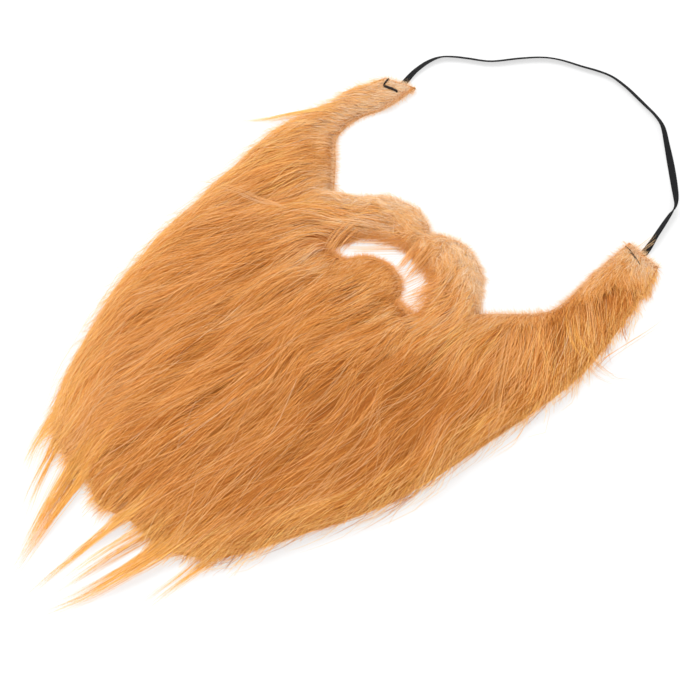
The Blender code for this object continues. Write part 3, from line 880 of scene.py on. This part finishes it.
# The hairs of each clump start round their guide, gather towards it, and end before it or with it.
owner = np.repeat(np.arange(len(guides)), HAIRS_PER_CLUMP)
hairs = len(owner)
angle = chance.uniform(0, 2 * math.pi, hairs)
radius = np.sqrt(chance.uniform(0, 1, hairs))
size = np.clip(guide_length[owner] / (60 * MM), 0.35, 1.0)
offset = np.stack([np.cos(angle), np.sin(angle)], -1)
offset = offset * (radius * CLUMP_RADIUS * (0.5 + 0.5 * size))[:, None]
share = np.linspace(0, 1, PILE_POINTS)
reach = 1 - 0.5 * chance.beta(1.3, 1.6, hairs)
place = share * reach[:, None] * (PILE_POINTS - 1)
low = np.minimum(place.astype(int), PILE_POINTS - 2)
part = (place - low)[..., None]
guide = owner[:, None]
followed = guide_paths[guide, low] * (1 - part) + guide_paths[guide, low + 1] * part
gather = 1 - guide_gather[owner][:, None] * share**1.1
curl = chance.normal(0, 1, (hairs, 1, 2)) * (share**1.5)[None, :, None] * (HAIR_CURL * size)[:, None, None]
plan = followed + offset[:, None] * gather[..., None] + curl
layer = chance.beta(2.2, 1.3, hairs)
lift = (-3.4 + 3.9 * layer) * MM * (0.4 + 0.6 * size) + 0.7 * MM * (0.5 - radius**2)
pile_paths = np.concatenate([plan, laid_height(plan, lift, hang=0.8)[..., None]], -1)
# Their paleness goes by place, clump and hair, and with the waves in the lie of the fur. Painted shade
# darkens the lower layers, under the shadow of the upper ones. At the cuts the pile is paler, partly as
# painted light; by the mouth hole and towards the outer edge it is painted paler as light coming through
# the thin fur, a little more on the right, whose edge the soft lamp leaves in shade.
root, tip = plan[:, 0], plan[:, -1]
rooted = read_map(depth_map, root) > 0.3 * MM
tone = (
    read_map(pale_map, root) + guide_tone[owner] + chance.normal(0, HAIR_TONE, hairs) - 0.22 * (1 - layer)
    + 0.06 * read_map(ripple, root)
    + 0.14 * step_up(-20 * MM, -2 * MM, read_map(hole_map, root))
    + 0.22 * step_up(PALE_LIT_RIM, 1 * MM, read_map(inner_map, root))
    + np.where(tip[:, 0] > 0, 0.18, 0.16) * step_up(PALE_LIT_RIM, -3 * MM, read_map(outer_map, tip))
)
width = HAIR_WIDTH * chance.uniform(0.65, 1.2, hairs)
BANDS = (
    # name of the piece, lowest and highest root Y in mm
    ("pile_chin", -400, -98),
    ("pile_lower", -98, -42),
    ("pile_middle", -42, 12),
    ("pile_upper", 12, 70),
    ("pile_face", 70, 400),
)
for name, bottom, top in BANDS:
    here = rooted & (root[:, 1] >= bottom * MM) & (root[:, 1] < top * MM)
    # Where the roots are in plain sight, near the cuts and over the mouth hole, they skip part of the
    # painted root shade.
    bare = 0.35 * step_up(12 * MM, 2 * MM, read_map(depth_map, root[here]))
    bare = np.maximum(bare, 0.7 * step_up(-16 * MM, -2 * MM, read_map(hole_map, root[here])))
    ribbons(name, pile_paths[here], width[here], tone[here], hair_finish, bare)

# Short pile: on the moustache, the sideburn ends and along the inner cuts the fur is sheared to a soft
# pale nap, whose single fibres lie every way.
SHORT_HAIRS = 36000
SHORT_LONGEST = 17 * MM
SHORT_WIDTH = 0.22 * MM
INNER_MARGIN = 12 * MM
TRIES = 900000  # random places in the cloth's box, of which those wanted are taken until there are enough
tries = np.column_stack([chance.uniform(-165, 165, TRIES), chance.uniform(-180, 240, TRIES)]) * MM
wanted = np.maximum(
    1 - step_up(SHORT_PILE * 0.8, SHORT_PILE * 1.25, read_map(length_map, tries)),
    0.9 * np.exp(-2 * (read_map(inner_map, tries) / INNER_MARGIN) ** 2),
)
wanted = np.maximum(wanted, 0.9 * np.exp(-2 * (read_map(lip_map, tries) / INNER_MARGIN) ** 2))
kept = (chance.uniform(0, 1, len(tries)) < wanted) & (read_map(depth_map, tries) > 0.2 * MM)
short_roots = tries[kept][:SHORT_HAIRS]
count = len(short_roots)
short_length = np.minimum(read_map(length_map, short_roots), SHORT_LONGEST)
short_length = short_length * chance.uniform(0.45, 1.1, count)
short_sway = chance.normal(0, 0.5, count) * (0.5 + 0.5 * read_map(on_moustache, short_roots))
short_plan = combed(short_roots, short_length, short_sway, chance.uniform(1, 7, count) * MM, 4, 1.5)
short_layer = chance.beta(2.0, 1.2, count)
short_z = laid_height(short_plan, (-2.6 + 3.8 * short_layer) * MM, 1.4 * MM, 0.6)
# The nap is painted paler near the inner cuts, partly as light coming through it, and painted shade
# darkens its lower layers.
short_tone = (
    read_map(pale_map, short_roots) + 0.22 * np.exp(-read_map(inner_map, short_roots) / (9 * MM))
    + chance.normal(0, 0.18, count) - 0.30 * (1 - short_layer) + 0.12 * read_map(whorl, short_roots)
)
short_pile = ribbons(
    "short_pile", np.concatenate([short_plan, short_z[..., None]], -1),
    SHORT_WIDTH * chance.uniform(0.8, 1.3, count), short_tone, hair_finish, 0.12,
)

# Loose tips: thin locks of the longest hairs, which pass the cut edge at the chin, the jaw and the
# sideburns, and hang from the moustache over the mouth hole. Each parts into strands towards its tip.
TIP_LOCKS = (
    # x, y, degrees as in FLOW at the root and at the tip, length, width in mm, share of the width kept at
    # the tip, hairs, strands, paleness, rise over the pile in mm, drop over each mm of its run
    (-38, -140, 20, 18, 120, 26, 0.3, 480, 5, 0.30, 0.0, 0.6),
    (-79, -112, 0, 34, 98, 9, 0.6, 150, 4, 0.36, 0.0, 0.6),
    (-63, -134, 12, 36, 96, 9, 0.5, 150, 3, 0.34, 0.0, 0.6),
    (-72, -126, 6, 38, 84, 20, 0.8, 110, 7, 0.42, 0.0, 0.6),
    (2, -158, 10, 14, 38, 6, 0.4, 24, 2, 0.36, 0.0, 0.6),
    (22, -146, -9, 5, 110, 13, 0.4, 150, 4, 0.36, 0.0, 0.6),
    (40, -148, -13, -6, 98, 14, 0.5, 120, 6, 0.36, 0.0, 0.6),
    (54, -141, -2, -22, 118, 20, 0.4, 300, 5, 0.32, 0.0, 0.6),
    (82, -126, -10, -2, 88, 14, 0.5, 110, 6, 0.36, 0.0, 0.6),
    (-138, 178, -28, -42, 80, 9, 0.4, 190, 3, 0.52, 0.4, 0.4),
    (-126, -24, 5, 6, 66, 8, 0.4, 36, 2, 0.40, 0.0, 0.6),
    (118, 154, 30, 136, 80, 9, 0.6, 60, 5, 0.20, 0.8, 0.35),
    (128, 150, 40, 116, 50, 12, 0.6, 50, 6, 0.20, 0.8, 0.35),
    (114, -52, -16, -12, 66, 8, 0.4, 50, 3, 0.38, 0.0, 0.6),
    (4, 126, 4, 12, 40, 18, 0.7, 200, 13, 0.46, 0.4, 0.1),
    (40, 106, -20, -34, 42, 20, 0.8, 120, 17, 0.46, 0.2, 0.1),
    (-44, 100, -4, 30, 36, 16, 0.7, 90, 11, 0.50, 0.2, 0.1),
)
WISP_SPOTS = slice(14, -20, 4)  # which points of the outer edge have a wisp; they are 3 mm apart
WISP_DEPTH, WISP_BACK = 9 * MM, 12 * MM  # from the edge towards the middle, and back up the fur
TIP_TONE = 0.11
jaw_wisps = []
for spot in outer_edge[WISP_SPOTS]:
    way = read_way(flow_map, spot)
    root = spot * (1 - WISP_DEPTH / np.linalg.norm(spot)) - way * WISP_BACK
    lie = math.degrees(math.atan2(way[0], -way[1]))
    lean = chance.uniform(4, 20) * np.sign(spot[0])
    length, wide, count = chance.uniform(30, 52), chance.uniform(5, 10), int(chance.integers(16, 44))
    jaw_wisps.append((*(root / MM), lie, lie + lean, length, wide, 0.4, count, 2, 0.40, 0.0, 0.6))
tip_paths, tip_tones = [], []
for lock in (*TIP_LOCKS, *jaw_wisps):
    x, y, first_turn, last_turn, length, wide, kept_share, count, strands, pale, rise, drop = lock
    first_turn, last_turn = math.radians(first_turn), math.radians(last_turn) + 1e-4
    strand = chance.integers(0, strands, count)
    middle = (np.arange(strands) - (strands - 1) / 2) / strands * wide
    end = middle * kept_share + chance.normal(0, 1.2, strands)
    most = chance.uniform(0.86, 1.04, strands)
    reach = most[strand] * (1 - 0.62 * chance.uniform(0, 1, count) ** 0.8)
    run = reach[:, None] * np.linspace(0, 1, PILE_POINTS)
    start = middle[strand] + chance.normal(0, wide / strands / 1.8, count)
    draw = np.clip(run * 1.1, 0, 1) ** 0.7
    beside_now = start[:, None] * (1 - draw) + end[strand][:, None] * draw
    bow = 2.4 * np.sin(2.6 * run) * chance.normal(0, 0.7) * length / 90
    beside_now = beside_now + chance.normal(0, 1.3, count)[:, None] * run * length / 90 + bow
    back = chance.uniform(0, 0.3, count)[:, None] * (1 - run) * length
    run = run - back / length
    bend = last_turn - first_turn
    turn = first_turn + bend * run
    along = np.stack([np.cos(first_turn) - np.cos(turn), np.sin(first_turn) - np.sin(turn)], -1)
    along = along * (length / bend)
    spread_out = along + np.stack([np.cos(turn), np.sin(turn)], -1) * beside_now[..., None]
    tip_plan = (np.array([x, y]) + spread_out) * MM
    tip_z = laid_height(tip_plan, (rise + chance.uniform(-2.0, 0.6, count)) * MM, hang=drop)
    tip_paths.append(np.concatenate([tip_plan, tip_z[..., None]], -1))
    tip_tones.append(chance.normal(pale, TIP_TONE, count))
tip_paths = np.concatenate(tip_paths)
tip_tones = np.concatenate(tip_tones)
tip_width = HAIR_WIDTH * chance.uniform(0.5, 1.0, len(tip_paths))
over_mouth = (tip_paths[:, 0, 1] > 80 * MM) & (abs(tip_paths[:, 0, 0]) < 60 * MM)
tips = [
    ribbons(name, tip_paths[group], tip_width[group], tip_tones[group], look)
    for name, group, look in (
        ("loose_tips", ~over_mouth, lit_tip_finish),
        ("mouth_wisps", over_mouth, hair_finish),
    )
]

# Cut-edge fuzz: where the scissors went through the cloth, the ends of sheared fibres stand out from the
# edge in a short pale fuzz. Along the outer edge they are long thin hairs that lie with the fur.
left_corner = np.vstack([arch_edge[-1:], lip_edge[:1]])
right_corner = np.vstack([lip_edge[-1:], arch_edge[:1]])
fuzz_edges = (
    # edge, hairs in each mm, length in mm, paleness, share of the hair's way that points out of the cloth,
    # and 1 for long thin hair
    (moustache_edge, 34, 7.0, 0.80, 0.8, 0),
    (left_inner_edge, 24, 7.5, 0.74, 0.7, 0),
    (right_inner_edge[::-1], 26, 7.5, 0.72, 0.7, 0),
    (right_tab_end, 34, 7.0, 0.78, 0.8, 0),
    (left_tab_end, 34, 7.0, 0.80, 0.8, 0),
    (arch_edge, 44, 12.0, 0.40, 0.5, 0),
    (lip_edge, 44, 6.5, 0.44, 1.0, 0),
    (left_corner, 44, 8.0, 0.44, 1.0, 0),
    (right_corner, 44, 8.0, 0.44, 1.0, 0),
    (outer_edge, 12, 13.0, 0.44, 0.25, 1),
)
fuzz_roots, fuzz_out, fuzz_kinds = [], [], []
for line, dense, *kind in fuzz_edges:
    run = np.concatenate([[0], np.cumsum(np.linalg.norm(np.diff(line, axis=0), axis=1))])
    marks = np.arange(0, run[-1], MM / dense)
    edge_spots = np.stack([np.interp(marks, run, line[:, i]) for i in (0, 1)], -1)
    steps = np.stack([np.interp(marks + 0.5 * MM, run, line[:, i]) for i in (0, 1)], -1) - edge_spots
    out = unit(np.stack([steps[:, 1], -steps[:, 0]], -1))
    out *= -np.sign(read_map(depth_map, edge_spots + out * 3 * MM))[:, None]
    fuzz_roots.append(edge_spots)
    fuzz_out.append(out)
    fuzz_kinds.append(np.tile(kind, (len(out), 1)))
fuzz_roots, fuzz_out = np.concatenate(fuzz_roots), np.concatenate(fuzz_out)
fuzz_length, fuzz_tone, fuzz_share, fuzz_long = np.concatenate(fuzz_kinds).T
fuzz_share, fuzz_long = fuzz_share[:, None], fuzz_long > 0
count = len(fuzz_roots)
fuzz_length = fuzz_length * MM * (0.25 + 0.85 * chance.beta(1.6, 2.2, count))
fuzz_roots = fuzz_roots - fuzz_out * chance.uniform(0.1, 6.0, count)[:, None] * MM
fuzz_way = unit(fuzz_out * fuzz_share + read_way(flow_map, fuzz_roots) * (1.1 - fuzz_share))
fuzz_way = turned_by(fuzz_way, chance.normal(0, 0.4, count))
share = np.linspace(0, 1, 3)
fuzz_plan = fuzz_roots[:, None] + fuzz_way[:, None] * (fuzz_length[:, None] * share)[..., None]
fuzz_over = read_map(lock_height, fuzz_roots) - 0.8 * MM
fuzz_start = tab_lift(fuzz_roots[:, 1]) + chance.uniform(0.3, 1.0, count) * fuzz_over
fuzz_rise = chance.normal(0.2, 0.3, count)
fuzz_z = fuzz_start[:, None] + fuzz_length[:, None] * share * fuzz_rise[:, None] - 0.9 * MM * share**2
fuzz_paths = np.concatenate([fuzz_plan, np.maximum(fuzz_z, 0.3 * MM)[..., None]], -1)
fuzz_width = SHORT_WIDTH * chance.uniform(0.5, 0.85, count)
fuzz_tone = fuzz_tone + chance.normal(0, 0.1, count)
fuzz = [
    ribbons(name, fuzz_paths[group], fuzz_width[group], fuzz_tone[group], look)
    for name, group, look in (
        ("cut_edge_fuzz", ~fuzz_long, hair_finish),
        ("long_edge_fuzz", fuzz_long, lit_tip_finish),
    )
]

# Stray hairs: single long hairs of the same pile that handling has pulled out of line. They lie across the
# combed fur and a little past its outline.
STRAYS, EDGE_STRAYS = 2600, 1100
STRAY_TONE, STRAY_DROP = 0.44, 0.3
SWEPT = (
    # locks swept aside: x, y, degrees as in FLOW, length, width in mm, hairs, paleness, drop over each mm
    (-76, 76, -72, 90, 1.5, 26, 0.56, 0.3),
    (-14, 121, -48, 52, 22, 80, 0.74, 0.1),
    (22, 116, -14, 44, 18, 44, 0.74, 0.1),
    (112, 172, 44, 62, 18, 50, 0.46, 0.3),
    (95, 120, 33, 90, 18, 50, 0.46, 0.3),
    (-80, 60, -34, 80, 24, 40, 0.46, 0.3),
    (157, 132, 172, 74, 5, 6, 0.50, 0.1),
    (113, 224, 176, 30, 5, 9, 0.70, 0.02),
)
stray_plans, stray_drops, stray_tones = [], [], []
for x, y, turn, length, wide, count, pale, drop in SWEPT:
    along = np.array([math.sin(math.radians(turn)), -math.cos(math.radians(turn))])
    beside = np.array([-along[1], along[0]])
    run = chance.uniform(0.6, 1.05, count)[:, None] * np.linspace(0, 1, PILE_POINTS)
    start = chance.normal(0, wide / 3, count)[:, None] * (1 + 0.4 * run)
    bow = chance.normal(0, length / 18, count)[:, None] * run * (1.2 - run)
    swept = along * (run * length)[..., None] + beside * (start + bow)[..., None]
    stray_plans.append(np.array([x, y]) * MM + swept * MM)
    stray_drops.append(np.full(count, drop))
    stray_tones.append(np.full(count, pale))


def loose_hairs(chosen, count, sway, overhang):
    roots = flat_spots[chance.choice(np.flatnonzero(chosen.ravel()), count, replace=False)]
    roots = roots + chance.uniform(-0.5, 0.5, roots.shape) * MAP_STEP
    lengths = read_map(length_map, roots) * chance.uniform(0.6, 1.15, count)
    return combed(roots, lengths, chance.normal(0, sway, count), overhang)


near_edge = (depth_map > 1 * MM) & (outer_map < 24 * MM)
stray_plan = np.concatenate([
    *stray_plans,
    loose_hairs(depth_map > 3 * MM, STRAYS, 0.24, chance.uniform(0, 5, STRAYS) * MM),
    loose_hairs(near_edge, EDGE_STRAYS, 0.16, chance.uniform(0, 13, EDGE_STRAYS) * MM),
])
count = len(stray_plan)
stray_lift = chance.uniform(0.2, 1.4, count) * MM
stray_drop = np.concatenate([*stray_drops, np.full(STRAYS + EDGE_STRAYS, STRAY_DROP)])
stray_z = laid_height(stray_plan, stray_lift, 3 * MM, stray_drop)
stray_paths = np.concatenate([stray_plan, stray_z[..., None]], -1)
stray_width = HAIR_WIDTH * 0.8 * chance.uniform(0.6, 1.1, count)
stray_tone = np.concatenate([*stray_tones, np.full(STRAYS + EDGE_STRAYS, STRAY_TONE)])
stray_tone = stray_tone + chance.normal(0, 0.12, count)
strays = [
    ribbons(name, stray_paths[group], stray_width[group], stray_tone[group], look)
    for name, group, look in (
        ("stray_hairs", slice(-EDGE_STRAYS), hair_finish),
        ("edge_strays", slice(-EDGE_STRAYS, None), lit_tip_finish),
    )
]

# The whole fur cloth: one flat sheet with every pile and hair piece on it, laid on the table. Here its
# area, which leaves out the mouth hole, and its box in plan are measured.
cut_area = float(on_cloth.sum()) * MAP_STEP**2
low, high = cut_edge.min(axis=0), cut_edge.max(axis=0)

# Stitches: a few turns of black thread that sew the elastic's end to the back of each sideburn. The left
# one shows as a tight bar with a loose end, and the right one is a slack turn half sunk in the hair.
STITCHES = (
    # CAD node, thread width in mm, its turns: points as x, y and height over the middle of the bar in mm
    ("stitch_left", 1.4, (
        ((-127.6, 218.0, -0.9), (-126.6, 218.4, 0.5), (-122.2, 219.7, 0.8), (-117.4, 221.3, 0.5),
         (-116.4, 221.7, -0.9)),
        ((-127.4, 219.0, -0.9), (-126.5, 219.2, 0.6), (-122.4, 220.4, 0.9), (-117.6, 221.8, 0.6),
         (-116.6, 222.2, -0.9)),
        ((-127.9, 218.6, 0.3), (-129.0, 220.8, 0.8), (-129.6, 223.2, 0.9), (-130.2, 226.4, 0.7)),
    )),
    ("stitch_right", 0.45, (
        ((105.4, 227.2, 0.2), (109.5, 226.6, 0.6), (115.3, 224.7, 0.8), (119.6, 223.0, 0.5),
         (123.2, 221.4, 0.2)),
        ((110.2, 225.0, -0.5), (112.6, 224.8, 0.5), (116.8, 223.5, 0.6), (118.6, 222.8, -0.5)),
    )),
)
thread_dye, thread_shader, thread_finish = finish_named("black_thread", (0.02, 0.016, 0.015), 0.7)
thread_shader.inputs["Specular IOR Level"].default_value = 0.15
thread_twist = thread_dye.node("TexNoise", {}, {"Scale": 2600.0, "Detail": 2.0})
thread_tint = thread_dye.node(
    "ValToRGB", {"stops": ((0.3, (0.006, 0.004, 0.004)), (0.7, (0.04, 0.026, 0.02)))}, {0: thread_twist}
)
thread_tint.feeds(thread_shader, "Base Color")
for node, thread_width, turns in STITCHES:
    curve = bpy.data.curves.new(node + "_thread", "CURVE")
    curve.dimensions = "3D"
    curve.bevel_depth = thread_width * MM / 2
    curve.bevel_resolution = 2
    curve.use_fill_caps = True
    low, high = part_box(node)
    middle = (low[2] + high[2]) / 2
    for points in turns:
        line = curve.splines.new("NURBS")
        line.order_u = 3
        line.use_endpoint_u = True
        line.points.add(len(points) - 1)
        for point, (x, y, rise) in zip(line.points, points):
            point.co = (x * MM, y * MM, middle + rise * MM, 1)
    made = bpy.data.objects.new(node + "_thread", curve)
    bpy.context.scene.collection.objects.link(made)
    curve.materials.append(thread_finish)
    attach(made, "root")
    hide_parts(node)
